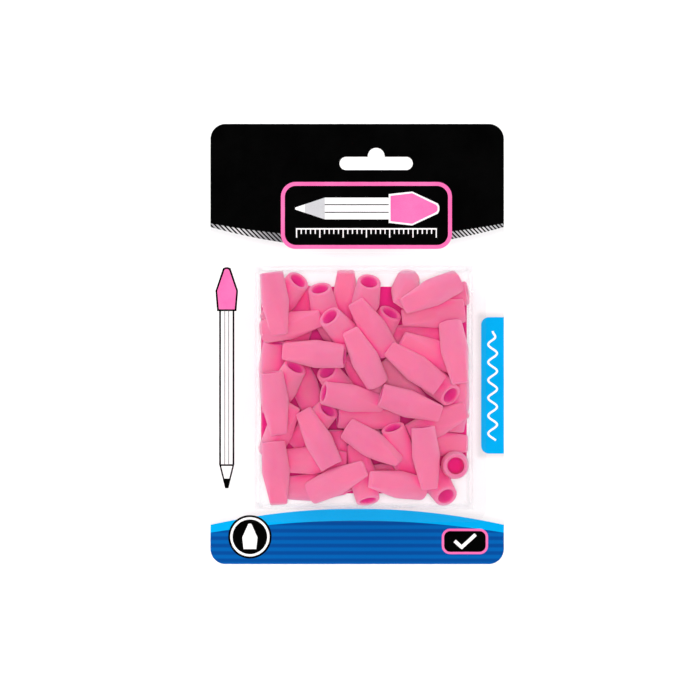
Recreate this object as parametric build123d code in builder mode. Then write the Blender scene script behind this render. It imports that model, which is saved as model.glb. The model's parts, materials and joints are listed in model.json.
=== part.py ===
from build123d import *
import os

# Carded blister pack of pencil eraser toppers, lying on its back.
# Millimetres. Z = 0 is the back of the card, +Z comes out of its front,
# +Y runs to the hang slot and +X to the right. The origin is the centre of the card's back.

# ---- driving dimensions -------------------------------------------------------------
CARD_W = 127.0          # 5 in
CARD_H = 190.5          # 7.5 in
CARD_T = 0.5            # paperboard
CARD_CORNER_R = 6.6

SLOT_X = 8.2            # the hang slot sits right of the centre line
SLOT_Y = 78.1
SLOT_W = 31.6
SLOT_H = 5.6
SLOT_BUMP_R = 3.6
SLOT_BUMP_Y = 81.2

CAVITY_X0, CAVITY_X1 = -43.3, 49.2     # inner cavity at the card
CAVITY_Y0, CAVITY_Y1 = -70.5, 32.8
CAVITY_Z = 34.6         # underside of the clear roof
DRAFT = 3.0             # degrees, so that the former leaves the shell
SHELL_T = 0.4           # formed PET sheet
CAVITY_CORNER_R = 2.6   # upright corners, inside
ROOF_EDGE_R = 1.2       # roof edges, inside
SEAL_GAP = 0.02         # heat-seal lacquer between flange and board
FLANGE_W = 6.5
FLANGE_CORNER_R = 6.0

TOPPER_L = 27.0
MOUTH_R = 5.0
SHOULDER_R = 6.05
SHOULDER_Z = 12.5
SHOULDER_SOFT = 9.0
TIP_HALF_W = 3.55       # chisel end, half width
TIP_HALF_T = 1.35       # chisel end, half thickness
TIP_ROUND = 0.75
LIP_ROUND = 0.6
BORE_R = 3.6            # slips over a 7.2 to 7.5 mm pencil
BORE_DEPTH = 12.4
BORE_END = 1.0
BORE_LIP = 0.35

# Where each topper lies: centre of its mouth (x, y, z), direction from mouth to chisel
# end, and direction across the chisel's width.
TOPPER_PLACES = [
    (-36.69, 30.46, 25.74,  0.1324, -0.9909, 0.0241,  0.9145, 0.1315, 0.3825),
    (-25.11, 27.21, 20.54,  -0.5241, -0.6393, -0.5627,  0.7747, -0.6323, -0.0032),
    (-16.05, 23.65, 21.99,  0.1744, -0.8304, -0.5291,  0.6751, -0.2903, 0.6782),
    (-11.96, 11.71, 28.44,  0.5365, -0.5824, -0.6107,  0.6813, 0.7260, -0.0937),
    (-40.23, 5.18, 14.09,  0.9153, 0.2180, 0.3386,  -0.3345, 0.8798, 0.3376),
    (-20.15, 24.99, 7.03,  -0.2126, -0.9770, -0.0148,  0.8937, -0.1883, -0.4073),
    (-35.49, 0.86, 9.63,  -0.0916, -0.9686, -0.2310,  0.9793, -0.0456, -0.1973),
    (-36.63, -12.11, 27.19,  0.1201, -0.9893, -0.0832,  0.9829, 0.1303, -0.1302),
    (-35.84, -41.87, 22.22,  0.0867, -0.9946, 0.0574,  0.9947, 0.0896, 0.0501),
    (-38.16, -46.79, 6.42,  0.3906, 0.7562, 0.5249,  0.8582, -0.5055, 0.0896),
    (-26.46, -9.85, 21.01,  -0.4285, -0.7634, -0.4834,  0.8940, -0.4358, -0.1042),
    (-5.35, -5.27, 27.14,  -0.9856, 0.0816, -0.1482,  -0.0750, -0.9959, -0.0497),
    (-7.49, -5.88, 5.02,  -0.8712, 0.1381, 0.4712,  -0.0470, -0.9787, 0.1999),
    (-12.88, -11.55, 20.46,  0.4497, -0.6268, -0.6363,  0.5907, -0.3257, 0.7383),
    (-18.82, -28.52, 9.42,  -0.3300, 0.9186, -0.2175,  -0.9427, -0.3084, 0.1276),
    (-14.49, -20.84, 27.50,  0.9397, -0.1824, -0.2892,  -0.0225, 0.8110, -0.5846),
    (-12.38, -27.92, 20.34,  -0.5515, -0.6008, -0.5788,  0.6987, -0.7117, 0.0730),
    (-10.77, -52.27, 27.07,  -0.4592, 0.8844, -0.0837,  -0.8586, -0.4660, -0.2137),
    (-4.56, -36.05, 24.48,  0.8400, -0.5257, 0.1344,  0.3069, 0.2561, -0.9167),
    (-8.41, -31.01, 16.24,  0.9918, -0.0311, -0.1241,  0.0210, 0.9964, -0.0819),
    (13.24, -3.37, 19.03,  -0.5229, 0.7911, 0.3175,  -0.8490, -0.4502, -0.2767),
    (8.66, -17.01, 22.40,  -0.4382, 0.8443, 0.3084,  -0.8876, -0.4606, -0.0001),
    (11.03, -26.28, 5.66,  -0.5692, 0.8010, 0.1858,  -0.5759, -0.5496, 0.6052),
    (38.23, 4.10, 10.40,  -0.9512, -0.0279, -0.3074,  0.0293, -0.9996, 0.0001),
    (45.88, 14.29, 16.32,  -0.9921, -0.1144, 0.0514,  0.1150, -0.9933, 0.0105),
    (21.90, 27.87, 2.87,  -0.1137, -0.4104, 0.9048,  0.8143, -0.5602, -0.1518),
    (42.82, 26.92, 22.43,  -0.8601, -0.4063, 0.3083,  0.4271, -0.9042, -0.0002),
    (47.64, 22.01, 8.59,  -0.9760, -0.1630, -0.1446,  -0.0208, -0.5910, 0.8064),
    (39.62, 9.20, 23.64,  0.1556, -0.9619, 0.2247,  0.9848, 0.1333, -0.1113),
    (35.19, -17.70, 25.75,  -0.8107, 0.5847, 0.0298,  -0.5825, -0.8107, 0.0589),
    (42.76, -8.49, 14.04,  -0.8775, 0.3866, 0.2837,  -0.4609, -0.8434, -0.2762),
    (27.89, -28.49, 6.71,  -0.6493, 0.7604, 0.0114,  -0.7569, -0.6446, -0.1076),
    (10.01, -21.83, 27.09,  0.9503, -0.2998, -0.0837,  0.3096, 0.9383, 0.1540),
    (40.03, -22.20, 19.41,  -0.5754, 0.4933, -0.6524,  -0.6070, -0.7922, -0.0637),
    (22.38, -39.27, 16.34,  0.9087, 0.4165, -0.0294,  -0.4161, 0.9091, 0.0182),
    (28.00, -35.34, 27.29,  0.1062, -0.9909, -0.0830,  0.9846, 0.1164, -0.1301),
    (15.11, -35.66, 21.80,  0.2965, -0.8733, -0.3867,  0.9529, 0.2975, 0.0588),
    (20.87, -42.69, 5.77,  0.9963, -0.0102, 0.0853,  0.0146, 0.9986, -0.0500),
    (27.89, -61.99, 16.59,  -0.8390, 0.1650, 0.5185,  -0.0944, -0.9826, 0.1600),
    (41.91, -51.84, 32.09,  -0.0050, 0.0032, -1.0000,  0.7934, -0.6086, -0.0059),
    (38.04, -65.26, 21.69,  -0.3659, 0.5513, -0.7498,  -0.8334, -0.5527, 0.0003),
    (4.66, -67.19, 23.70,  -0.2026, 0.9002, -0.3854,  -0.9771, -0.2118, 0.0189),
    (-20.05, -63.85, 22.58,  0.8677, 0.4118, 0.2784,  -0.3697, 0.9091, -0.1921),
    (-6.72, -63.36, 5.68,  -0.1061, 0.9731, 0.2044,  -0.8604, 0.0132, -0.5095),
    (-30.92, -50.15, 12.88,  0.9748, 0.0189, 0.2223,  0.0134, 0.9896, -0.1429),
    (-29.63, -62.06, 6.76,  0.9144, 0.0404, 0.4028,  -0.1665, 0.9445, 0.2833),
    (-5.29, 5.13, 5.79,  0.0151, 0.9964, 0.0830,  -0.9912, 0.0258, -0.1301),
    (5.07, 26.60, 24.94,  -0.1234, -0.7370, -0.6646,  0.4422, 0.5587, -0.7017),
    (14.37, 13.40, 14.79,  -0.4330, -0.7660, -0.4751,  0.8793, -0.4749, -0.0357),
    (40.96, -37.54, 5.79,  0.1288, 0.9882, 0.0830,  -0.7802, 0.1527, -0.6066),
    (-4.72, -36.19, 5.79,  0.8781, -0.4712, 0.0831,  0.4565, 0.8770, 0.1500),
    (-1.20, -58.62, 7.89,  0.9924, 0.0895, -0.0849,  -0.0889, 0.9960, 0.0114),
]

os.makedirs("parts", exist_ok=True)

# ---- backing card -------------------------------------------------------------------
with BuildPart() as card:
    with BuildSketch() as outline:
        RectangleRounded(CARD_W, CARD_H, CARD_CORNER_R)
        with Locations((SLOT_X, SLOT_Y)):
            SlotOverall(SLOT_W, SLOT_H, mode=Mode.SUBTRACT)
        with Locations((SLOT_X, SLOT_BUMP_Y)):
            Circle(SLOT_BUMP_R, mode=Mode.SUBTRACT)
    extrude(amount=CARD_T)
card.part.label = "backing_card"
export_step(card.part, "parts/backing_card.step")

# ---- clear blister ------------------------------------------------------------------
CAVITY_CX = (CAVITY_X0 + CAVITY_X1) / 2
CAVITY_CY = (CAVITY_Y0 + CAVITY_Y1) / 2
CAVITY_W = CAVITY_X1 - CAVITY_X0
CAVITY_H = CAVITY_Y1 - CAVITY_Y0
SEAT_Z = CARD_T + SEAL_GAP

with BuildPart() as cavity:
    with BuildSketch(Plane.XY.offset(SEAT_Z)):
        with Locations((CAVITY_CX, CAVITY_CY)):
            RectangleRounded(CAVITY_W, CAVITY_H, CAVITY_CORNER_R)
    extrude(amount=CAVITY_Z - SEAT_Z, taper=DRAFT)
    fillet(cavity.faces().sort_by(Axis.Z)[-1].edges(), radius=ROOF_EDGE_R)

with BuildPart() as blister:
    with BuildSketch(Plane.XY.offset(SEAT_Z)):
        with Locations((CAVITY_CX, CAVITY_CY)):
            RectangleRounded(
                CAVITY_W + 2 * SHELL_T, CAVITY_H + 2 * SHELL_T, CAVITY_CORNER_R + SHELL_T
            )
    extrude(amount=CAVITY_Z + SHELL_T - SEAT_Z, taper=DRAFT)
    fillet(blister.faces().sort_by(Axis.Z)[-1].edges(), radius=ROOF_EDGE_R + SHELL_T)
    with BuildSketch(Plane.XY.offset(SEAT_Z)):
        with Locations((CAVITY_CX, CAVITY_CY)):
            RectangleRounded(
                CAVITY_W + 2 * FLANGE_W, CAVITY_H + 2 * FLANGE_W, FLANGE_CORNER_R
            )
    extrude(amount=SHELL_T)
    add(cavity.part, mode=Mode.SUBTRACT)
blister.part.label = "blister"
export_step(blister.part, "parts/blister.step")

# ---- one topper, mouth at Z = 0 and chisel end at Z = TOPPER_L -----------------------
SLOPE = (SHOULDER_R - TIP_HALF_T) / (TOPPER_L - SHOULDER_Z)

with BuildPart() as topper_form:
    # flared round collar running into a round taper
    with BuildSketch(Plane.XZ) as profile:
        with BuildLine():
            Polyline(
                (0, 0),
                (MOUTH_R, 0),
                (SHOULDER_R, SHOULDER_Z),
                (TIP_HALF_W, TOPPER_L),
                (0, TOPPER_L),
                close=True,
            )
        make_face()
        fillet(profile.vertices().sort_by(Axis.X)[-1], radius=SHOULDER_SOFT)
    revolve(axis=Axis.Z)
    # the two flats of the chisel
    with BuildSketch(Plane.YZ) as wedge:
        with BuildLine():
            Polyline(
                (-8, -1),
                (8, -1),
                (8, SHOULDER_Z - (8 - SHOULDER_R) / SLOPE),
                (TIP_HALF_T, TOPPER_L),
                (-TIP_HALF_T, TOPPER_L),
                (-8, SHOULDER_Z - (8 - SHOULDER_R) / SLOPE),
                close=True,
            )
        make_face()
    extrude(amount=10, both=True, mode=Mode.INTERSECT)
    fillet(topper_form.faces().sort_by(Axis.Z)[-1].edges(), radius=TIP_ROUND)
    fillet(topper_form.faces().sort_by(Axis.Z)[0].edges(), radius=LIP_ROUND)
    # blind pencil bore
    with BuildSketch(Plane.XZ) as bore:
        with BuildLine():
            Polyline(
                (0, -1),
                (BORE_R, -1),
                (BORE_R, BORE_DEPTH),
                (BORE_R - BORE_END, BORE_DEPTH + BORE_END),
                (0, BORE_DEPTH + BORE_END),
                close=True,
            )
        make_face()
    revolve(axis=Axis.Z, mode=Mode.SUBTRACT)
    fillet(
        topper_form.edges()
        .filter_by(GeomType.CIRCLE)
        .filter_by(lambda edge: abs(edge.radius - BORE_R) < 1e-4)
        .sort_by(Axis.Z)[0],
        radius=BORE_LIP,
    )

# ---- every topper where it lies -----------------------------------------------------
for number, (x, y, z, ax, ay, az, wx, wy, wz) in enumerate(TOPPER_PLACES, start=1):
    place = Plane(origin=(x, y, z), x_dir=(wx, wy, wz), z_dir=(ax, ay, az))
    with BuildPart() as topper:
        with Locations(Location(place)):
            add(topper_form.part)
    topper.part.label = f"topper_{number:02d}"
    export_step(topper.part, f"parts/topper_{number:02d}.step")
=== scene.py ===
import bpy, json, math, random
from mathutils import Matrix, Vector, noise
from mathutils.geometry import delaunay_2d_cdt


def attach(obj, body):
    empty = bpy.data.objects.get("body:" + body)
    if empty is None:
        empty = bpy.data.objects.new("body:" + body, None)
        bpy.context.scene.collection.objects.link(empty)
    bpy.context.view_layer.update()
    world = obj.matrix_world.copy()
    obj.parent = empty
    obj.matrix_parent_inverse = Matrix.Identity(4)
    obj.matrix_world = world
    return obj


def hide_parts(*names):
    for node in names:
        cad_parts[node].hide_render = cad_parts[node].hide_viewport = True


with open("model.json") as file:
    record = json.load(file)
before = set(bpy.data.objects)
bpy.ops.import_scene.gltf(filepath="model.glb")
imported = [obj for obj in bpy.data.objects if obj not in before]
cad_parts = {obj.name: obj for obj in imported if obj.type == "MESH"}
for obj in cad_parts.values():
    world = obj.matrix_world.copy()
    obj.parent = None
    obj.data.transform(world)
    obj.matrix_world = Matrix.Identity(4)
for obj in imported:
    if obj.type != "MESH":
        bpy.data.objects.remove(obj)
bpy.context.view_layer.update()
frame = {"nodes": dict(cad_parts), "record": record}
MM = 0.001

# ---- sizes in millimetres, as in the CAD model --------------------------------------
CARD_W, CARD_H, CARD_T, CARD_R = 127.0, 190.5, 0.5, 6.6
SLOT_X, SLOT_Y, SLOT_W, SLOT_H = 8.2, 78.1, 31.6, 5.6
BUMP_R, BUMP_Y = 3.6, 81.2
CAVITY_X, CAVITY_Y, CAVITY_Z, DRAFT, SHELL_T = (-43.3, 49.2), (-70.5, 32.8), 34.6, 3.0, 0.4
TOPPER_L, MOUTH_R, SHOULDER_R, SHOULDER_Z = 27.0, 5.0, 6.05, 12.5
TIP_HALF_W, TIP_HALF_T, TIP_ROUND = 3.55, 1.35, 0.75
LIP_ROUND, BORE_R, BORE_DEPTH, BORE_END, BORE_LIP = 0.6, 3.6, 12.4, 1.0, 0.35

# mouth centre, direction from mouth to chisel end, direction across the chisel
TOPPER_PLACES = [
    (-36.69, 30.46, 25.74,  0.1324, -0.9909, 0.0241,  0.9145, 0.1315, 0.3825),
    (-25.11, 27.21, 20.54,  -0.5241, -0.6393, -0.5627,  0.7747, -0.6323, -0.0032),
    (-16.05, 23.65, 21.99,  0.1744, -0.8304, -0.5291,  0.6751, -0.2903, 0.6782),
    (-11.96, 11.71, 28.44,  0.5365, -0.5824, -0.6107,  0.6813, 0.7260, -0.0937),
    (-40.23, 5.18, 14.09,  0.9153, 0.2180, 0.3386,  -0.3345, 0.8798, 0.3376),
    (-20.15, 24.99, 7.03,  -0.2126, -0.9770, -0.0148,  0.8937, -0.1883, -0.4073),
    (-35.49, 0.86, 9.63,  -0.0916, -0.9686, -0.2310,  0.9793, -0.0456, -0.1973),
    (-36.63, -12.11, 27.19,  0.1201, -0.9893, -0.0832,  0.9829, 0.1303, -0.1302),
    (-35.84, -41.87, 22.22,  0.0867, -0.9946, 0.0574,  0.9947, 0.0896, 0.0501),
    (-38.16, -46.79, 6.42,  0.3906, 0.7562, 0.5249,  0.8582, -0.5055, 0.0896),
    (-26.46, -9.85, 21.01,  -0.4285, -0.7634, -0.4834,  0.8940, -0.4358, -0.1042),
    (-5.35, -5.27, 27.14,  -0.9856, 0.0816, -0.1482,  -0.0750, -0.9959, -0.0497),
    (-7.49, -5.88, 5.02,  -0.8712, 0.1381, 0.4712,  -0.0470, -0.9787, 0.1999),
    (-12.88, -11.55, 20.46,  0.4497, -0.6268, -0.6363,  0.5907, -0.3257, 0.7383),
    (-18.82, -28.52, 9.42,  -0.3300, 0.9186, -0.2175,  -0.9427, -0.3084, 0.1276),
    (-14.49, -20.84, 27.50,  0.9397, -0.1824, -0.2892,  -0.0225, 0.8110, -0.5846),
    (-12.38, -27.92, 20.34,  -0.5515, -0.6008, -0.5788,  0.6987, -0.7117, 0.0730),
    (-10.77, -52.27, 27.07,  -0.4592, 0.8844, -0.0837,  -0.8586, -0.4660, -0.2137),
    (-4.56, -36.05, 24.48,  0.8400, -0.5257, 0.1344,  0.3069, 0.2561, -0.9167),
    (-8.41, -31.01, 16.24,  0.9918, -0.0311, -0.1241,  0.0210, 0.9964, -0.0819),
    (13.24, -3.37, 19.03,  -0.5229, 0.7911, 0.3175,  -0.8490, -0.4502, -0.2767),
    (8.66, -17.01, 22.40,  -0.4382, 0.8443, 0.3084,  -0.8876, -0.4606, -0.0001),
    (11.03, -26.28, 5.66,  -0.5692, 0.8010, 0.1858,  -0.5759, -0.5496, 0.6052),
    (38.23, 4.10, 10.40,  -0.9512, -0.0279, -0.3074,  0.0293, -0.9996, 0.0001),
    (45.88, 14.29, 16.32,  -0.9921, -0.1144, 0.0514,  0.1150, -0.9933, 0.0105),
    (21.90, 27.87, 2.87,  -0.1137, -0.4104, 0.9048,  0.8143, -0.5602, -0.1518),
    (42.82, 26.92, 22.43,  -0.8601, -0.4063, 0.3083,  0.4271, -0.9042, -0.0002),
    (47.64, 22.01, 8.59,  -0.9760, -0.1630, -0.1446,  -0.0208, -0.5910, 0.8064),
    (39.62, 9.20, 23.64,  0.1556, -0.9619, 0.2247,  0.9848, 0.1333, -0.1113),
    (35.19, -17.70, 25.75,  -0.8107, 0.5847, 0.0298,  -0.5825, -0.8107, 0.0589),
    (42.76, -8.49, 14.04,  -0.8775, 0.3866, 0.2837,  -0.4609, -0.8434, -0.2762),
    (27.89, -28.49, 6.71,  -0.6493, 0.7604, 0.0114,  -0.7569, -0.6446, -0.1076),
    (10.01, -21.83, 27.09,  0.9503, -0.2998, -0.0837,  0.3096, 0.9383, 0.1540),
    (40.03, -22.20, 19.41,  -0.5754, 0.4933, -0.6524,  -0.6070, -0.7922, -0.0637),
    (22.38, -39.27, 16.34,  0.9087, 0.4165, -0.0294,  -0.4161, 0.9091, 0.0182),
    (28.00, -35.34, 27.29,  0.1062, -0.9909, -0.0830,  0.9846, 0.1164, -0.1301),
    (15.11, -35.66, 21.80,  0.2965, -0.8733, -0.3867,  0.9529, 0.2975, 0.0588),
    (20.87, -42.69, 5.77,  0.9963, -0.0102, 0.0853,  0.0146, 0.9986, -0.0500),
    (27.89, -61.99, 16.59,  -0.8390, 0.1650, 0.5185,  -0.0944, -0.9826, 0.1600),
    (41.91, -51.84, 32.09,  -0.0050, 0.0032, -1.0000,  0.7934, -0.6086, -0.0059),
    (38.04, -65.26, 21.69,  -0.3659, 0.5513, -0.7498,  -0.8334, -0.5527, 0.0003),
    (4.66, -67.19, 23.70,  -0.2026, 0.9002, -0.3854,  -0.9771, -0.2118, 0.0189),
    (-20.05, -63.85, 22.58,  0.8677, 0.4118, 0.2784,  -0.3697, 0.9091, -0.1921),
    (-6.72, -63.36, 5.68,  -0.1061, 0.9731, 0.2044,  -0.8604, 0.0132, -0.5095),
    (-30.92, -50.15, 12.88,  0.9748, 0.0189, 0.2223,  0.0134, 0.9896, -0.1429),
    (-29.63, -62.06, 6.76,  0.9144, 0.0404, 0.4028,  -0.1665, 0.9445, 0.2833),
    (-5.29, 5.13, 5.79,  0.0151, 0.9964, 0.0830,  -0.9912, 0.0258, -0.1301),
    (5.07, 26.60, 24.94,  -0.1234, -0.7370, -0.6646,  0.4422, 0.5587, -0.7017),
    (14.37, 13.40, 14.79,  -0.4330, -0.7660, -0.4751,  0.8793, -0.4749, -0.0357),
    (40.96, -37.54, 5.79,  0.1288, 0.9882, 0.0830,  -0.7802, 0.1527, -0.6066),
    (-4.72, -36.19, 5.79,  0.8781, -0.4712, 0.0831,  0.4565, 0.8770, 0.1500),
    (-1.20, -58.62, 7.89,  0.9924, 0.0895, -0.0849,  -0.0889, 0.9960, 0.0114),
]

BODY_OF = {n: b for b, ns in frame["record"]["behaviour"]["bodies"].items() for n in ns}


# ---- small helpers ------------------------------------------------------------------
def lin(r, g, b):
    """An 8-bit screen colour as linear light."""
    out = []
    for v in (r, g, b):
        v /= 255.0
        out.append(v / 12.92 if v <= 0.04045 else ((v + 0.055) / 1.055) ** 2.4)
    return (*out, 1.0)


class Nodes:
    """A material with short calls for its nodes."""

    def __init__(self, name):
        self.mat = bpy.data.materials.new(name)
        self.mat.use_nodes = True
        self.tree = self.mat.node_tree
        self.tree.nodes.clear()
        self.out = self.tree.nodes.new("ShaderNodeOutputMaterial")

    def add(self, kind, **settings):
        n = self.tree.nodes.new(kind)
        for k, v in settings.items():
            setattr(n, k, v)
        return n

    def put(self, socket, value):
        if isinstance(value, bpy.types.NodeSocket):
            self.tree.links.new(value, socket)
        else:
            socket.default_value = value

    def math(self, op, a, b=0.0, c=0.0, clamp=False):
        n = self.add("ShaderNodeMath", operation=op, use_clamp=clamp)
        for s, v in zip(n.inputs, (a, b, c)):
            self.put(s, v)
        return n.outputs[0]

    def ramp(self, value, low, high, to_low=0.0, to_high=1.0, smooth=True):
        n = self.add("ShaderNodeMapRange", interpolation_type="SMOOTHSTEP" if smooth else "LINEAR")
        for s, v in zip(n.inputs, (value, low, high, to_low, to_high)):
            self.put(s, v)
        return n.outputs[0]

    def mix(self, fac, a, b, blend="MIX"):
        n = self.add("ShaderNodeMix", data_type="RGBA", blend_type=blend)
        self.put(n.inputs[0], fac)
        self.put(n.inputs[6], a)
        self.put(n.inputs[7], b)
        return n.outputs[2]

    def noise(self, coord, scale, detail=3.0, rough=0.5):
        n = self.add("ShaderNodeTexNoise")
        self.put(n.inputs["Vector"], coord)
        n.inputs["Scale"].default_value = scale
        n.inputs["Detail"].default_value = detail
        n.inputs["Roughness"].default_value = rough
        return n.outputs[0]

    def object_coord(self):
        return self.add("ShaderNodeTexCoord").outputs["Object"]

    def bump(self, height, strength, distance):
        n = self.add("ShaderNodeBump")
        n.inputs["Strength"].default_value = strength
        n.inputs["Distance"].default_value = distance
        self.put(n.inputs["Height"], height)
        return n.outputs[0]

    def principled(self, **sockets):
        n = self.add("ShaderNodeBsdfPrincipled")
        for k, v in sockets.items():
            self.put(n.inputs[k.replace("_", " ")], v)
        return n

    def surface(self, socket):
        self.tree.links.new(socket, self.out.inputs["Surface"])
        return self.mat


# ---- rubber -------------------------------------------------------------------------
def rubber():
    m = Nodes("eraser_rubber")
    co = m.object_coord()
    rnd = m.add("ShaderNodeObjectInfo").outputs["Random"]
    cloud = m.noise(co, 140.0, 3.0, 0.55)
    grain = m.noise(co, 1500.0, 2.0, 0.6)
    speck = m.noise(co, 5200.0, 1.0, 0.5)
    # open faces are chalky, with cloudy tone, random tone per cap and specks; where neighbours crowd in, painted shade
    # turns the colour deeper magenta
    open_a = m.mix(cloud, lin(232, 112, 155), lin(241, 128, 168))
    open_b = m.mix(m.math("MULTIPLY", rnd, 0.35), open_a, lin(244, 136, 174))
    dusty = m.mix(m.ramp(speck, 0.62, 0.74, 0.0, 0.22), open_b, lin(255, 176, 202))
    flecked = m.mix(m.ramp(speck, 0.36, 0.26, 0.0, 0.25), dusty, lin(222, 88, 138))
    # painted shade: ambient occlusion shifts the colour to deeper magenta in crevices, and deeper still in the
    # narrowest gaps
    ao = m.add("ShaderNodeAmbientOcclusion", samples=8)
    ao.inputs["Distance"].default_value = 0.012
    crevice_shade = m.ramp(ao.outputs["AO"], 0.16, 0.62, 1.0, 0.0)
    deep = m.ramp(ao.outputs["AO"], 0.06, 0.26, 1.0, 0.0)
    with_painted_shade = m.mix(deep, m.mix(crevice_shade, flecked, lin(255, 80, 162)), lin(240, 22, 130))
    # painted shade: the inside of the bore is coloured deep magenta, fading out towards its rim
    bore = m.add("ShaderNodeAttribute", attribute_name="bore_shade_mask").outputs["Fac"]
    colour = m.mix(m.ramp(bore, 0.0, 1.0, 0.0, 0.95), with_painted_shade, lin(238, 18, 146))
    rough = m.ramp(grain, 0.3, 0.7, 0.56, 0.74)
    height = m.math("ADD", m.math("MULTIPLY", grain, 0.7), m.math("MULTIPLY", cloud, 0.6))
    normal = m.bump(height, 0.35, 0.00012)
    b = m.principled(Base_Color=colour, Roughness=rough, Normal=normal,
                     Specular_IOR_Level=0.22, Sheen_Weight=0.3, Sheen_Roughness=0.65, Diffuse_Roughness=1.0,
                     Subsurface_Weight=0.45, Subsurface_Scale=0.006)
    b.inputs["Subsurface Radius"].default_value = (1.0, 0.12, 0.34)
    b.inputs["Sheen Tint"].default_value = lin(255, 196, 216)
    return m.surface(b.outputs[0])


def softmin(a, b, k):
    return -k * math.log(math.exp(-a / k) + math.exp(-b / k))


def outer_radius(z):
    up = MOUTH_R + (SHOULDER_R - MOUTH_R) * z / SHOULDER_Z
    down = SHOULDER_R + (TIP_HALF_W - SHOULDER_R) * (z - SHOULDER_Z) / (TOPPER_L - SHOULDER_Z)
    return softmin(up, down, 0.105)


def half_thickness(z):
    return TIP_HALF_T + (SHOULDER_R - TIP_HALF_T) * (TOPPER_L - z) / (TOPPER_L - SHOULDER_Z)


ROUND = 84


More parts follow.
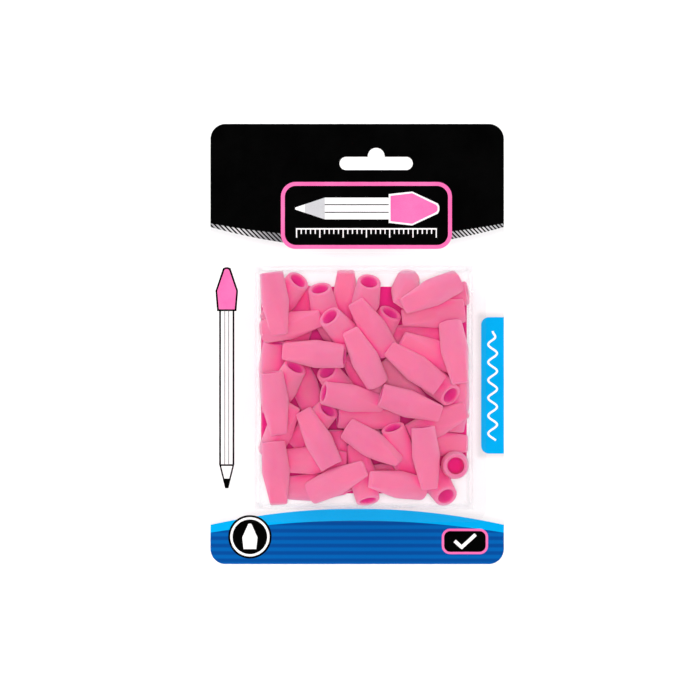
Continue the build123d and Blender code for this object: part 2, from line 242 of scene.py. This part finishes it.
def topper_mesh(number):
    """One moulded cap: bore, rolled lip, flared collar and chisel, with mould line and small dents."""
    rng = random.Random(9173 + number)
    rings = []          # each (list of points, outside?)
    inside = []         # 1 in the bore, falling to 0 at its rim

    def circle(r, z, within=0.0):
        rings.append(([(r * math.cos(t), r * math.sin(t), z) for t in angles], False))
        inside.append(within)

    angles = [2 * math.pi * i / ROUND for i in range(ROUND)]
    circle(1.2, BORE_DEPTH + BORE_END, 1.0)
    circle(BORE_R - BORE_END - 0.15, BORE_DEPTH + BORE_END, 1.0)
    circle(BORE_R - BORE_END + 0.12, BORE_DEPTH + BORE_END - 0.12, 1.0)
    circle(BORE_R - 0.12, BORE_DEPTH + 0.12, 1.0)
    circle(BORE_R, BORE_DEPTH - 0.15, 1.0)
    for z in (10.0, 8.0, 6.2, 4.6, 3.4, 2.4, 1.6, 1.0, 0.65, BORE_LIP):
        circle(BORE_R, z, min(1.0, 0.25 + 0.5 * (z - BORE_LIP)))
    for i in range(1, 5):
        t = math.pi / 2 * i / 4
        circle(BORE_R + BORE_LIP * (1 - math.cos(t)), BORE_LIP * (1 - math.sin(t)), 0.25 * (1 - i / 4))
    for i in range(0, 6):
        t = math.pi / 2 * i / 5
        z = LIP_ROUND * (1 - math.cos(t))
        circle(outer_radius(LIP_ROUND) - LIP_ROUND * (1 - math.sin(t)), z)
    steps = [LIP_ROUND + (TOPPER_L - TIP_ROUND - LIP_ROUND) * i / 40 for i in range(1, 41)]
    steps += [TOPPER_L - TIP_ROUND + TIP_ROUND * math.sin(math.pi / 2 * i / 6) for i in range(1, 7)]
    for z in steps:
        past = max(0.0, z - (TOPPER_L - TIP_ROUND))
        inset = TIP_ROUND - math.sqrt(max(0.0, TIP_ROUND ** 2 - past ** 2))
        r, h = outer_radius(z) - inset, half_thickness(z) - inset
        ring = []
        for t in angles:
            x, y = r * math.cos(t), r * math.sin(t)
            side = abs(y)
            if side > h - 1.2:
                y = math.copysign(softmin(side, h, 0.11), y)
            ring.append((x, y, z))
        rings.append((ring, True))
        inside.append(0.0)

    bend = (rng.uniform(-0.05, 0.05), rng.uniform(-0.05, 0.05))
    dents = []
    for _ in range(rng.randint(3, 6)):
        t, z = rng.uniform(0, 2 * math.pi), rng.uniform(2, TOPPER_L)
        r, h = outer_radius(min(z, TOPPER_L)), half_thickness(z)
        p = Vector((r * math.cos(t), max(-h, min(h, r * math.sin(t))), z))
        dents.append((p, rng.uniform(0.5, 1.3), rng.uniform(0.03, 0.12)))
    for _ in range(2):  # worn chisel corners
        p = Vector((rng.choice((-1, 1)) * (TIP_HALF_W - 0.3), rng.choice((-1, 1)) * TIP_HALF_T * 0.6, TOPPER_L))
        dents.append((p, rng.uniform(0.6, 1.0), rng.uniform(0.08, 0.2)))
    seed = Vector((rng.uniform(-50, 50), rng.uniform(-50, 50), rng.uniform(-50, 50)))

    verts, faces = [], []
    axis_in = Vector((0, 0, 13.0))
    for ring, outside in rings:
        for x, y, z in ring:
            p = Vector((x, y, z))
            if outside:
                out = Vector((x, y, 0.0)).normalized()
                p = p + out * (0.04 * noise.noise(p * 0.35 + seed) - 0.03)
                if abs(y) < 0.16:
                    p = p + out * 0.055       # flash along the mould's parting line
                for q, size, deep in dents:
                    d = (p - q).length / size
                    if d < 1.0:
                        inward = (axis_in if z < 20 else Vector((0, 0, 20.0))) - p
                        p = p + inward.normalized() * deep * (1 - d * d) ** 2
            f = z / TOPPER_L
            p = p + Vector((bend[0] * f * f, bend[1] * f * f, 0))
            verts.append(p * MM)
    for i in range(len(rings) - 1):
        a, b = i * ROUND, (i + 1) * ROUND
        for j in range(ROUND):
            k = (j + 1) % ROUND
            faces.append((a + j, a + k, b + k, b + j))
    # both ends closed
    floor_c = len(verts)
    verts.append(Vector((0, 0, BORE_DEPTH + BORE_END)) * MM)
    for j in range(ROUND):
        faces.append((floor_c, (j + 1) % ROUND, j))
    last = (len(rings) - 1) * ROUND
    inner = len(verts)
    tip = [verts[last + j] for j in range(ROUND)]
    for p in tip:
        verts.append(Vector((p.x * 0.72, p.y * 0.45, TOPPER_L * MM)))
    for j in range(ROUND):
        k = (j + 1) % ROUND
        faces.append((last + j, last + k, inner + k, inner + j))
    tip_c = len(verts)
    verts.append(Vector((bend[0] * MM, bend[1] * MM, TOPPER_L * MM)))
    for j in range(ROUND):
        faces.append((inner + j, inner + (j + 1) % ROUND, tip_c))
    me = bpy.data.meshes.new(f"eraser_cap_{number:02d}")
    me.from_pydata([tuple(v) for v in verts], [], faces)
    me.validate()
    me.polygons.foreach_set("use_smooth", [True] * len(me.polygons))
    share = [v for v in inside for _ in range(ROUND)]
    share += [0.0] * (len(verts) - len(share))
    share[floor_c] = 1.0
    # mask for the painted shade inside the bore
    me.attributes.new("bore_shade_mask", "FLOAT", "POINT").data.foreach_set("value", share)
    me.update()
    return me


RUBBER = rubber()
for number, (x, y, z, ax, ay, az, wx, wy, wz) in enumerate(TOPPER_PLACES, start=1):
    node = f"topper_{number:02d}"
    along = Vector((ax, ay, az)).normalized()
    wide = Vector((wx, wy, wz))
    wide = (wide - along * wide.dot(along)).normalized()
    thick = along.cross(wide)
    place = Matrix.Identity(4)
    for i, axis in enumerate((wide, thick, along)):
        for j in range(3):
            place[j][i] = axis[j]
    place.translation = Vector((x, y, z)) * MM
    cap = bpy.data.objects.new(f"eraser_cap_{number:02d}", topper_mesh(number))
    bpy.context.scene.collection.objects.link(cap)
    cap.data.materials.append(RUBBER)
    cap.data.transform(place)
    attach(cap, BODY_OF[node])
    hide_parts(node)


# ---- printed card -------------------------------------------------------------------
HEAD_LOW, HEAD_RISE = 41.6, 9.0        # lower edge of the black panel: height at the middle, rise at the sides
FOOT_HIGH, FOOT_FALL = -71.2, 7.0      # upper edge of the cyan stripe
BLUE_HIGH, BLUE_FALL = -76.4, 5.2      # upper edge of the blue field
TAB = (53.6, -47.4, 11.6)              # left edge, bottom and top of the side tab


def ink(name, colour_of, rough=(0.42, 0.6), spec=0.06):
    m = Nodes(name)
    co = m.object_coord()
    tooth = m.noise(co, 2600.0, 3.0, 0.6)
    cloud = m.noise(co, 60.0, 4.0, 0.6)
    base = colour_of(m, co, cloud, tooth)
    b = m.principled(Base_Color=base, Roughness=m.ramp(cloud, 0.3, 0.7, *rough),
                     Normal=m.bump(tooth, 0.08, 0.00003), Specular_IOR_Level=spec)
    return m.surface(b.outputs[0])


def even(low, high):
    return lambda m, co, cloud, tooth: m.mix(m.ramp(m.math("ADD", m.math("MULTIPLY", cloud, 0.6), m.math("MULTIPLY", tooth, 0.4)), 0.35, 0.65), low, high)


def xy(m, co):
    s = m.add("ShaderNodeSeparateXYZ")
    m.put(s.inputs[0], co)
    return s.outputs[0], s.outputs[1]


def parabola(m, x, mid, change):
    """mid + change * (x / half the card)^2, in metres."""
    f = m.math("DIVIDE", x, CARD_W / 2 * MM)
    return m.math("ADD", m.math("MULTIPLY", m.math("MULTIPLY", f, f), change * MM), mid * MM)


def white_board(m, co, cloud, tooth):
    x, y = xy(m, co)
    board = m.mix(m.ramp(cloud, 0.3, 0.7), lin(251, 251, 252), lin(254, 254, 254))
    head = m.math("SUBTRACT", parabola(m, x, HEAD_LOW, HEAD_RISE), y)
    foot = m.math("SUBTRACT", y, parabola(m, x, FOOT_HIGH, -FOOT_FALL))
    a = m.ramp(head, 0.0, 0.0052, 0.24, 0.0)
    b = m.ramp(foot, 0.0, 0.0044, 0.20, 0.0)
    # soft edge round the side tab
    dx = m.math("SUBTRACT", TAB[0] * MM, x)
    dy = m.math("SUBTRACT", m.math("ABSOLUTE", m.math("SUBTRACT", y, (TAB[1] + TAB[2]) / 2 * MM)), (TAB[2] - TAB[1]) / 2 * MM)
    far = m.math("SQRT", m.math("ADD", m.math("POWER", m.math("MAXIMUM", dx, 0.0), 2.0), m.math("POWER", m.math("MAXIMUM", dy, 0.0), 2.0)))
    c = m.ramp(far, 0.0, 0.0034, 0.26, 0.0)
    shade = m.math("MAXIMUM", m.math("MAXIMUM", a, b), c)
    return m.mix(shade, board, lin(96, 98, 104))


def hatch_band(m, co, cloud, tooth):
    x, y = xy(m, co)
    line = m.math("SINE", m.math("MULTIPLY", m.math("ADD", x, y), 2 * math.pi / 0.0019))
    sheen = m.math("ABSOLUTE", m.math("SINE", m.math("MULTIPLY", x, math.pi / 0.052)))
    grey = m.mix(m.ramp(sheen, 0.0, 1.0), lin(214, 214, 216), lin(132, 132, 136))
    return m.mix(m.ramp(line, -0.15, 0.15), lin(6, 6, 6), grey)


def pin_stripes(m, co, cloud, tooth):
    x, y = xy(m, co)
    line = m.math("SINE", m.math("MULTIPLY", y, 2 * math.pi / 0.0032))
    return m.mix(m.ramp(line, -0.8, 0.8), lin(4, 74, 150), lin(2, 95, 174))


def raw_board(m, co, cloud, tooth):
    fibre = m.noise(co, 420.0, 5.0, 0.7)
    return m.mix(m.ramp(fibre, 0.3, 0.7), lin(226, 223, 216), lin(240, 238, 233))


INKS = [
    ink("print_white", white_board),
    ink("print_black", even(lin(1, 1, 1), lin(4, 4, 4)), (0.36, 0.5), 0.03),
    ink("print_hatch", hatch_band, (0.34, 0.5)),
    ink("print_pink", even(lin(246, 104, 172), lin(251, 122, 184))),
    ink("print_plain_white", even(lin(252, 252, 252), lin(255, 255, 255))),
    ink("print_cyan", even(lin(1, 169, 234), lin(5, 175, 240)), (0.42, 0.6), 0.03),
    ink("print_blue", pin_stripes),
    ink("print_grey", even(lin(196, 197, 200), lin(208, 209, 212))),
    # painted shade: deep magenta for the panel seen through the gaps between the caps
    ink("painted_gap_shade", even(lin(222, 22, 120), lin(232, 34, 132))),
    ink("board_back", raw_board, (0.7, 0.85), 0.15),
    ink("board_edge", even(lin(236, 235, 231), lin(248, 247, 244)), (0.75, 0.9), 0.1),
]
WHITE, BLACK, HATCH, PINK, PLAIN, CYAN, BLUE, GREY, GAP_SHADE, BACK, EDGE = range(len(INKS))


def arc_points(cx, cy, r, a0, a1, n):
    return [(cx + r * math.cos(math.radians(a0 + (a1 - a0) * i / n)), cy + r * math.sin(math.radians(a0 + (a1 - a0) * i / n))) for i in range(n + 1)]


def rounded(cx, cy, w, h, r, n=10):
    pts = []
    for sx, sy, a in ((1, 1, 0), (-1, 1, 90), (-1, -1, 180), (1, -1, 270)):
        pts += arc_points(cx + sx * (w / 2 - r), cy + sy * (h / 2 - r), r, a, a + 90, n)
    return pts


def disc(cx, cy, r, n=72):
    return arc_points(cx, cy, r, 0, 360 - 360 / n, n - 1)


def slot_outline(d):
    """Hang slot grown by d."""
    hh, top = SLOT_H / 2 + d, SLOT_Y + SLOT_H / 2 + d
    r = BUMP_R + d
    dx = math.sqrt(r * r - (top - BUMP_Y) ** 2)
    a = math.degrees(math.atan2(top - BUMP_Y, dx))
    half = SLOT_W / 2 - SLOT_H / 2
    pts = arc_points(SLOT_X + half, SLOT_Y, hh, -90, 90, 20)
    pts += arc_points(SLOT_X, BUMP_Y, r, a, 180 - a, 32)
    pts += arc_points(SLOT_X - half, SLOT_Y, hh, 90, 270, 20)
    return pts


def turn(points, cx, cy, degrees):
    c, s = math.cos(math.radians(degrees)), math.sin(math.radians(degrees))
    return [(cx + (x - cx) * c - (y - cy) * s, cy + (x - cx) * s + (y - cy) * c) for x, y in points]


def thick_line(points, w):
    """A polyline as a ribbon of width w with square ends."""
    left, right = [], []
    for i, (x, y) in enumerate(points):
        x0, y0 = points[max(0, i - 1)]
        x1, y1 = points[min(len(points) - 1, i + 1)]
        n = math.hypot(x1 - x0, y1 - y0)
        nx, ny = -(y1 - y0) / n, (x1 - x0) / n
        left.append((x + nx * w / 2, y + ny * w / 2))
        right.append((x - nx * w / 2, y - ny * w / 2))
    return left + right[::-1]


def cap_shape(cx, cy, length, half, grow=0.0):
    """Side view of a wedge cap lying along +X from its mouth at cx."""
    g = grow
    pts = [(cx - g, cy - half * 0.83 - g), (cx + length * 0.46, cy - half - g), (cx + length - half * 0.1 + g, cy - half * 0.24 - g * 0.8)]
    pts += [(cx + length + g, cy - half * 0.12), (cx + length + g, cy + half * 0.12)]
    pts += [(x, 2 * cy - y) for x, y in pts[2::-1]]
    return pts


def across(change, mid, low_edge, n=64):
    """Points of an arched edge from the card's left side to its right side."""
    pts = []
    for i in range(n + 1):
        x = -CARD_W / 2 + CARD_W * i / n
        pts.append((x, mid + change * (x / (CARD_W / 2)) ** 2 + low_edge))
    return pts


OVER = CARD_W / 2 + 4
layers = []          # painter's order: (ink, polygon)
head_edge = across(HEAD_RISE, HEAD_LOW, 0.0)
layers.append((HATCH, head_edge + [(OVER, 100), (-OVER, 100)]))
layers.append((BLACK, across(HEAD_RISE - 3.0, HEAD_LOW + 4.6, 0.0) + [(OVER, 101), (-OVER, 101)]))
foot_edge = across(-FOOT_FALL, FOOT_HIGH, 0.0)
layers.append((CYAN, foot_edge + [(OVER, -100), (-OVER, -100)]))
layers.append((BLUE, across(-BLUE_FALL, BLUE_HIGH, 0.0) + [(OVER, -101), (-OVER, -101)]))

# deep magenta panel behind the heap: painted shade, standing in for the shade in the gaps between the caps
layers.append((GAP_SHADE, arc_points(45.0, 22.4, 2.4, 0, 90, 10) + arc_points(-39.2, 22.4, 2.4, 90, 180, 10)
               + [(-41.6, -45.0), (-36.0, -50.0)] + arc_points(-33.6, -62.2, 2.4, 180, 270, 10) + [(38.6, -64.6), (41.2, -56.4)] + arc_points(45.0, -54.0, 2.4, 270, 360, 10)))

# title plate: a pencil wearing a wedge cap, over a bare rule
px, py = 4.0, 55.6
layers.append((PINK, rounded(px, py, 74.0, 29.0, 6.4)))
layers.append((BLACK, rounded(px, py, 70.6, 25.6, 4.8)))
by = py + 3.0
layers.append((PLAIN, [(px - 18, by - 4.7), (px + 13.4, by - 4.7), (px + 13.4, by + 4.7), (px - 18, by + 4.7)]))
layers.append((GREY, [(px - 18, by - 4.7), (px - 18, by + 4.7), (px - 30.5, by + 0.5), (px - 30.5, by - 0.5)]))
layers.append((PLAIN, [(px - 26.6, by - 1.82), (px - 26.6, by + 1.82), (px - 30.8, by + 0.42), (px - 30.8, by - 0.42)]))
for off in (-1.65, 1.65):
    layers.append((BLACK, [(px - 18, by + off - 0.22), (px + 12.6, by + off - 0.22), (px + 12.6, by + off + 0.22), (px - 18, by + off + 0.22)]))
layers.append((PLAIN, cap_shape(px + 10.4, by, 20.4, 6.6, 0.75)))
layers.append((PINK, cap_shape(px + 10.4, by, 20.4, 6.6)))
layers.append((PLAIN, [(px - 30.5, py - 6.1), (px + 30.5, py - 6.1), (px + 30.5, py - 5.5), (px - 30.5, py - 5.5)]))
for i in range(31):
    x = px - 30.2 + i * 2.0133
    deep = 3.6 if i % 5 == 0 else 2.0
    layers.append((PLAIN, [(x - 0.24, py - 6.0 - deep), (x + 0.24, py - 6.0 - deep), (x + 0.24, py - 6.0), (x - 0.24, py - 6.0)]))

# upright pencil down the left side
lx, lt, lb = -56.4, 16.0, -52.0
outline = [(lx - 3.3, lb), (lx - 0.7, lb - 10.4), (lx + 0.7, lb - 10.4), (lx + 3.3, lb), (lx + 3.3, lt), (lx - 3.3, lt)]
layers.append((BLACK, outline))
layers.append((PLAIN, [(lx - 2.5, lb), (lx + 2.5, lb), (lx + 2.5, lt - 0.2), (lx - 2.5, lt - 0.2)]))
layers.append((PLAIN, [(lx - 2.4, lb - 0.75), (lx - 1.05, lb - 6.2), (lx + 1.05, lb - 6.2), (lx + 2.4, lb - 0.75)]))
for off in (-0.85, 0.85):
    layers.append((BLACK, [(lx + off - 0.14, lb), (lx + off + 0.14, lb), (lx + off + 0.14, lt - 0.2), (lx + off - 0.14, lt - 0.2)]))
layers.append((BLACK, turn(cap_shape(lx, lt - 1.0, 17.4, 4.1, 0.8), lx, lt - 1.0, 90)))
layers.append((PINK, turn(cap_shape(lx, lt - 1.0, 17.4, 4.1), lx, lt - 1.0, 90)))

# side tab with a scribbled line
tab_mid, tab_tall = (TAB[1] + TAB[2]) / 2, TAB[2] - TAB[1]
layers.append((CYAN, arc_points(TAB[0] + 3.4, TAB[2] - 3.4, 3.4, 90, 180, 10) + arc_points(TAB[0] + 3.4, TAB[1] + 3.4, 3.4, 180, 270, 10) + [(OVER, TAB[1]), (OVER, TAB[2])]))
swing = [(58.6 + 1.9 * math.sin(i * 0.22) * min(1.0, i / 14), TAB[2] - 6.0 - i * 0.27) for i in range(0, 176)]
layers.append((PLAIN, thick_line(swing, 0.9)))

# round badge with an upright cap
bx, bb = -46.4, -83.4
layers.append((BLACK, disc(bx, bb, 9.4)))
layers.append((PLAIN, disc(bx, bb, 8.5)))
layers.append((BLACK, disc(bx, bb, 7.5)))
layers.append((PLAIN, turn(cap_shape(bx, bb - 5.3, 11.0, 3.3), bx, bb - 5.3, 90)))

# small plate with a tick
qx, qy = 46.6, -85.4
layers.append((PINK, rounded(qx, qy, 20.0, 11.0, 3.6)))
layers.append((BLACK, rounded(qx, qy, 18.0, 9.0, 2.7)))
layers.append((PLAIN, thick_line([(qx - 4.4, qy + 0.2), (qx - 1.3, qy - 2.6)], 1.5)))
layers.append((PLAIN, thick_line([(qx - 1.8, qy - 2.9), (qx + 4.6, qy + 3.0)], 1.5)))


def card_mesh():
    chamfer = 0.06
    cuts = {-1: set(), 1: set()}       # where ink edges meet the card's left and right sides

    def ring(d):
        pts = rounded(0, 0, CARD_W - 2 * d, CARD_H - 2 * d, CARD_R - d, 14)
        return (pts[:30] + [(d - CARD_W / 2, y) for y in sorted(cuts[-1], reverse=True)]
                + pts[30:] + [(CARD_W / 2 - d, y) for y in sorted(cuts[1])])
    verts, faces, mats = [], [], []

    def flat(z, polys, inks, flip):
        coords, tris = [], []
        for p in polys:
            area = sum(p[i - 1][0] * p[i][1] - p[i][0] * p[i - 1][1] for i in range(len(p)))
            p = p if area > 0 else p[::-1]
            tris.append(list(range(len(coords), len(coords) + len(p))))
            coords += [Vector(q) for q in p]
        co, _, fs, _, _, ids = delaunay_2d_cdt(coords, [], tris, 1, 1e-5, True)
        used = {}

        def corner(i):
            if i not in used:
                used[i] = len(verts)
                verts.append((co[i].x, co[i].y, z))
            return used[i]

        for f, inside in zip(fs, ids):
            if 0 not in inside or 1 in inside:
                continue
            tri = [corner(i) for i in f]
            a, b, c = (co[i] for i in f[:3])
            up = (b - a).cross(c - a) > 0
            if up == flip:
                tri.reverse()
            faces.append(tri)
            mats.append(inks[max(inside)])

    front = [ring(chamfer), slot_outline(chamfer)] + [p for _, p in layers]
    flat(CARD_T, front, [WHITE, None] + [k for k, _ in layers], False)
    for x, y, _ in verts:
        if abs(abs(x) - (CARD_W / 2 - chamfer)) < 1e-4 and abs(y) < CARD_H / 2 - CARD_R - 0.01:
            cuts[1 if x > 0 else -1].add(y)
    flat(0.0, [ring(chamfer), slot_outline(chamfer)], [BACK, None], True)
    for outline_of, outward in ((ring, True), (slot_outline, False)):
        levels = [(outline_of(chamfer), 0.0), (outline_of(0.0), chamfer), (outline_of(0.0), CARD_T - chamfer), (outline_of(chamfer), CARD_T)]
        n = len(levels[0][0])
        start = len(verts)
        for pts, z in levels:
            verts.extend((x, y, z) for x, y in pts)
        for i in range(3):
            for j in range(n):
                k = (j + 1) % n
                q = [start + i * n + j, start + i * n + k, start + (i + 1) * n + k, start + (i + 1) * n + j]
                faces.append(q if outward else q[::-1])
                mats.append(EDGE)
    me = bpy.data.meshes.new("printed_card")
    me.from_pydata([(x * MM, y * MM, z * MM) for x, y, z in verts], [], faces)
    for k in INKS:
        me.materials.append(k)
    me.polygons.foreach_set("material_index", mats)
    me.update()
    return me


card = bpy.data.objects.new("printed_card", card_mesh())
bpy.context.scene.collection.objects.link(card)
weld = card.modifiers.new("weld", "WELD")
weld.merge_threshold = 2e-6
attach(card, BODY_OF["backing_card"])
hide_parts("backing_card")


# ---- clear film ---------------------------------------------------------------------
def clear_film():
    m = Nodes("clear_film")
    co = m.object_coord()
    sag = m.noise(co, 34.0, 2.0, 0.5)
    fine = m.noise(co, 420.0, 2.0, 0.5)
    normal = m.bump(m.math("ADD", sag, m.math("MULTIPLY", fine, 0.04)), 0.25, 0.0012)
    # both faces of the sheet mirror alike: faint when looked at square on, strong at a glancing angle
    edge_on = m.add("ShaderNodeLayerWeight")
    edge_on.inputs["Blend"].default_value = 0.5
    m.put(edge_on.inputs["Normal"], normal)
    mirror = m.math("ADD", m.math("MULTIPLY", m.math("POWER", edge_on.outputs["Facing"], 3.0), 0.42), 0.03)
    clear = m.add("ShaderNodeBsdfTransparent")
    clear.inputs["Color"].default_value = (0.995, 0.995, 0.997, 1)
    shine = m.add("ShaderNodeBsdfGlossy")
    shine.inputs["Color"].default_value = (1, 1, 1, 1)
    m.put(shine.inputs["Roughness"], m.ramp(fine, 0.3, 0.7, 0.05, 0.12))
    m.put(shine.inputs["Normal"], normal)
    mix = m.add("ShaderNodeMixShader")
    m.put(mix.inputs[0], mirror)
    m.put(mix.inputs[1], clear.outputs[0])
    m.put(mix.inputs[2], shine.outputs[0])
    # the sheet is drawn thin and goes a little cloudy where it was bent: roof edges, upright corners, foot of the walls
    s = m.add("ShaderNodeSeparateXYZ")
    m.put(s.inputs[0], co)
    x, y, z = s.outputs
    lean = m.math("MULTIPLY", m.math("SUBTRACT", z, CARD_T * MM), math.tan(math.radians(DRAFT)))
    left = m.math("SUBTRACT", m.math("SUBTRACT", x, (CAVITY_X[0] - SHELL_T) * MM), lean)
    right = m.math("SUBTRACT", m.math("SUBTRACT", (CAVITY_X[1] + SHELL_T) * MM, x), lean)
    low = m.math("SUBTRACT", m.math("SUBTRACT", y, (CAVITY_Y[0] - SHELL_T) * MM), lean)
    high = m.math("SUBTRACT", m.math("SUBTRACT", (CAVITY_Y[1] + SHELL_T) * MM, y), lean)
    in_x, in_y = m.math("MINIMUM", left, right), m.math("MINIMUM", low, high)
    in_wall = m.math("MINIMUM", in_x, in_y)
    corner = m.math("MULTIPLY", m.ramp(m.math("MAXIMUM", in_x, in_y), 0.0012, 0.0030, 0.9, 0.0), m.ramp(z, 0.00095, 0.0013))
    brow = m.math("MULTIPLY", m.ramp(in_wall, 0.0008, 0.0020, 1.0, 0.0), m.ramp(z, (CAVITY_Z - 1.4) * MM, (CAVITY_Z - 0.5) * MM))
    foot = m.math("MULTIPLY", m.ramp(z, 0.0010, 0.0022, 0.8, 0.0), m.ramp(in_wall, -0.0010, -0.0003))
    bent = m.math("MAXIMUM", m.math("MAXIMUM", corner, brow), foot)
    cloudy = m.add("ShaderNodeBsdfDiffuse")
    cloudy.inputs["Color"].default_value = lin(196, 200, 206)
    both = m.add("ShaderNodeMixShader")
    m.put(both.inputs[0], m.math("MULTIPLY", bent, 0.16))
    m.put(both.inputs[1], mix.outputs[0])
    m.put(both.inputs[2], cloudy.outputs[0])
    return m.surface(both.outputs[0])


blister = frame["nodes"]["blister"]
blister.data.materials.clear()
blister.data.materials.append(clear_film())
blister.visible_shadow = False       # clear film: soft light goes through it
blister.visible_diffuse = False

# ---- floor, light and camera --------------------------------------------------------
def floor_material():
    m = Nodes("pale_floor")
    co = m.object_coord()
    n = m.noise(co, 9.0, 3.0, 0.5)
    b = m.principled(Base_Color=m.mix(n, lin(252, 252, 252), lin(254, 254, 254)), Roughness=0.9, Specular_IOR_Level=0.05)
    return m.surface(b.outputs[0])


me = bpy.data.meshes.new("floor")
side, cells = 8.0, 8
me.from_pydata([(-side / 2 + side * i / cells, -side / 2 + side * j / cells, -0.0001) for j in range(cells + 1) for i in range(cells + 1)], [],
               [(j * (cells + 1) + i, j * (cells + 1) + i + 1, (j + 1) * (cells + 1) + i + 1, (j + 1) * (cells + 1) + i) for j in range(cells) for i in range(cells)])
floor = bpy.data.objects.new("floor", me)
floor.data.materials.append(floor_material())
bpy.context.scene.collection.objects.link(floor)

scene = bpy.context.scene
scene.view_settings.view_transform = "Standard"
scene.view_settings.look = "None"

world = bpy.data.worlds.new("studio")
scene.world = world
world.use_nodes = True
wt = world.node_tree
wt.nodes.clear()
tc = wt.nodes.new("ShaderNodeTexCoord")
sep = wt.nodes.new("ShaderNodeSeparateXYZ")
wt.links.new(tc.outputs["Generated"], sep.inputs[0])
dome = wt.nodes.new("ShaderNodeMapRange")
dome.interpolation_type = "SMOOTHSTEP"
for s, v in zip(dome.inputs[1:], (0.80, 0.985, 1.0, 0.30)):
    s.default_value = v
wt.links.new(sep.outputs[2], dome.inputs[0])
bg = wt.nodes.new("ShaderNodeBackground")
bg.inputs["Color"].default_value = (1, 1, 1, 1)
gain = wt.nodes.new("ShaderNodeMath")
gain.operation = "MULTIPLY"
gain.inputs[1].default_value = 0.49
wt.links.new(dome.outputs[0], gain.inputs[0])
wt.links.new(gain.outputs[0], bg.inputs["Strength"])
wo = wt.nodes.new("ShaderNodeOutputWorld")
wt.links.new(bg.outputs[0], wo.inputs[0])

light = bpy.data.lights.new("softbox", "AREA")
light.shape = "RECTANGLE"
light.size, light.size_y = 0.9, 0.7
light.energy = 3.0
key = bpy.data.objects.new("softbox", light)
key.location = (-0.75, 0.75, 1.05)
key.rotation_euler = (Vector((0, 0, 0)) - key.location).to_track_quat("-Z", "Y").to_euler()
scene.collection.objects.link(key)

# broad light from beside the lens: it reaches into the gaps, and the film does not mirror it
lamp = bpy.data.lights.new("lens_light", "SUN")
lamp.energy = 2.18
lamp.angle = math.radians(13)
front = bpy.data.objects.new("lens_light", lamp)
front.location = (0, 0, 2.5)
front.visible_glossy = False
scene.collection.objects.link(front)

FRAME_MM = 302.75
DIST = 1.8
cam_data = bpy.data.cameras.new("camera")
cam_data.sensor_width = 36.0
cam_data.lens = 36.0 * DIST * 1000 / FRAME_MM
cam_data.clip_end = 50
cam = bpy.data.objects.new("camera", cam_data)
cam.location = (-3.1 * MM, -2.6 * MM, DIST + CARD_T * MM)
cam.rotation_euler = (0, 0, 0)
scene.collection.objects.link(cam)
scene.camera = cam
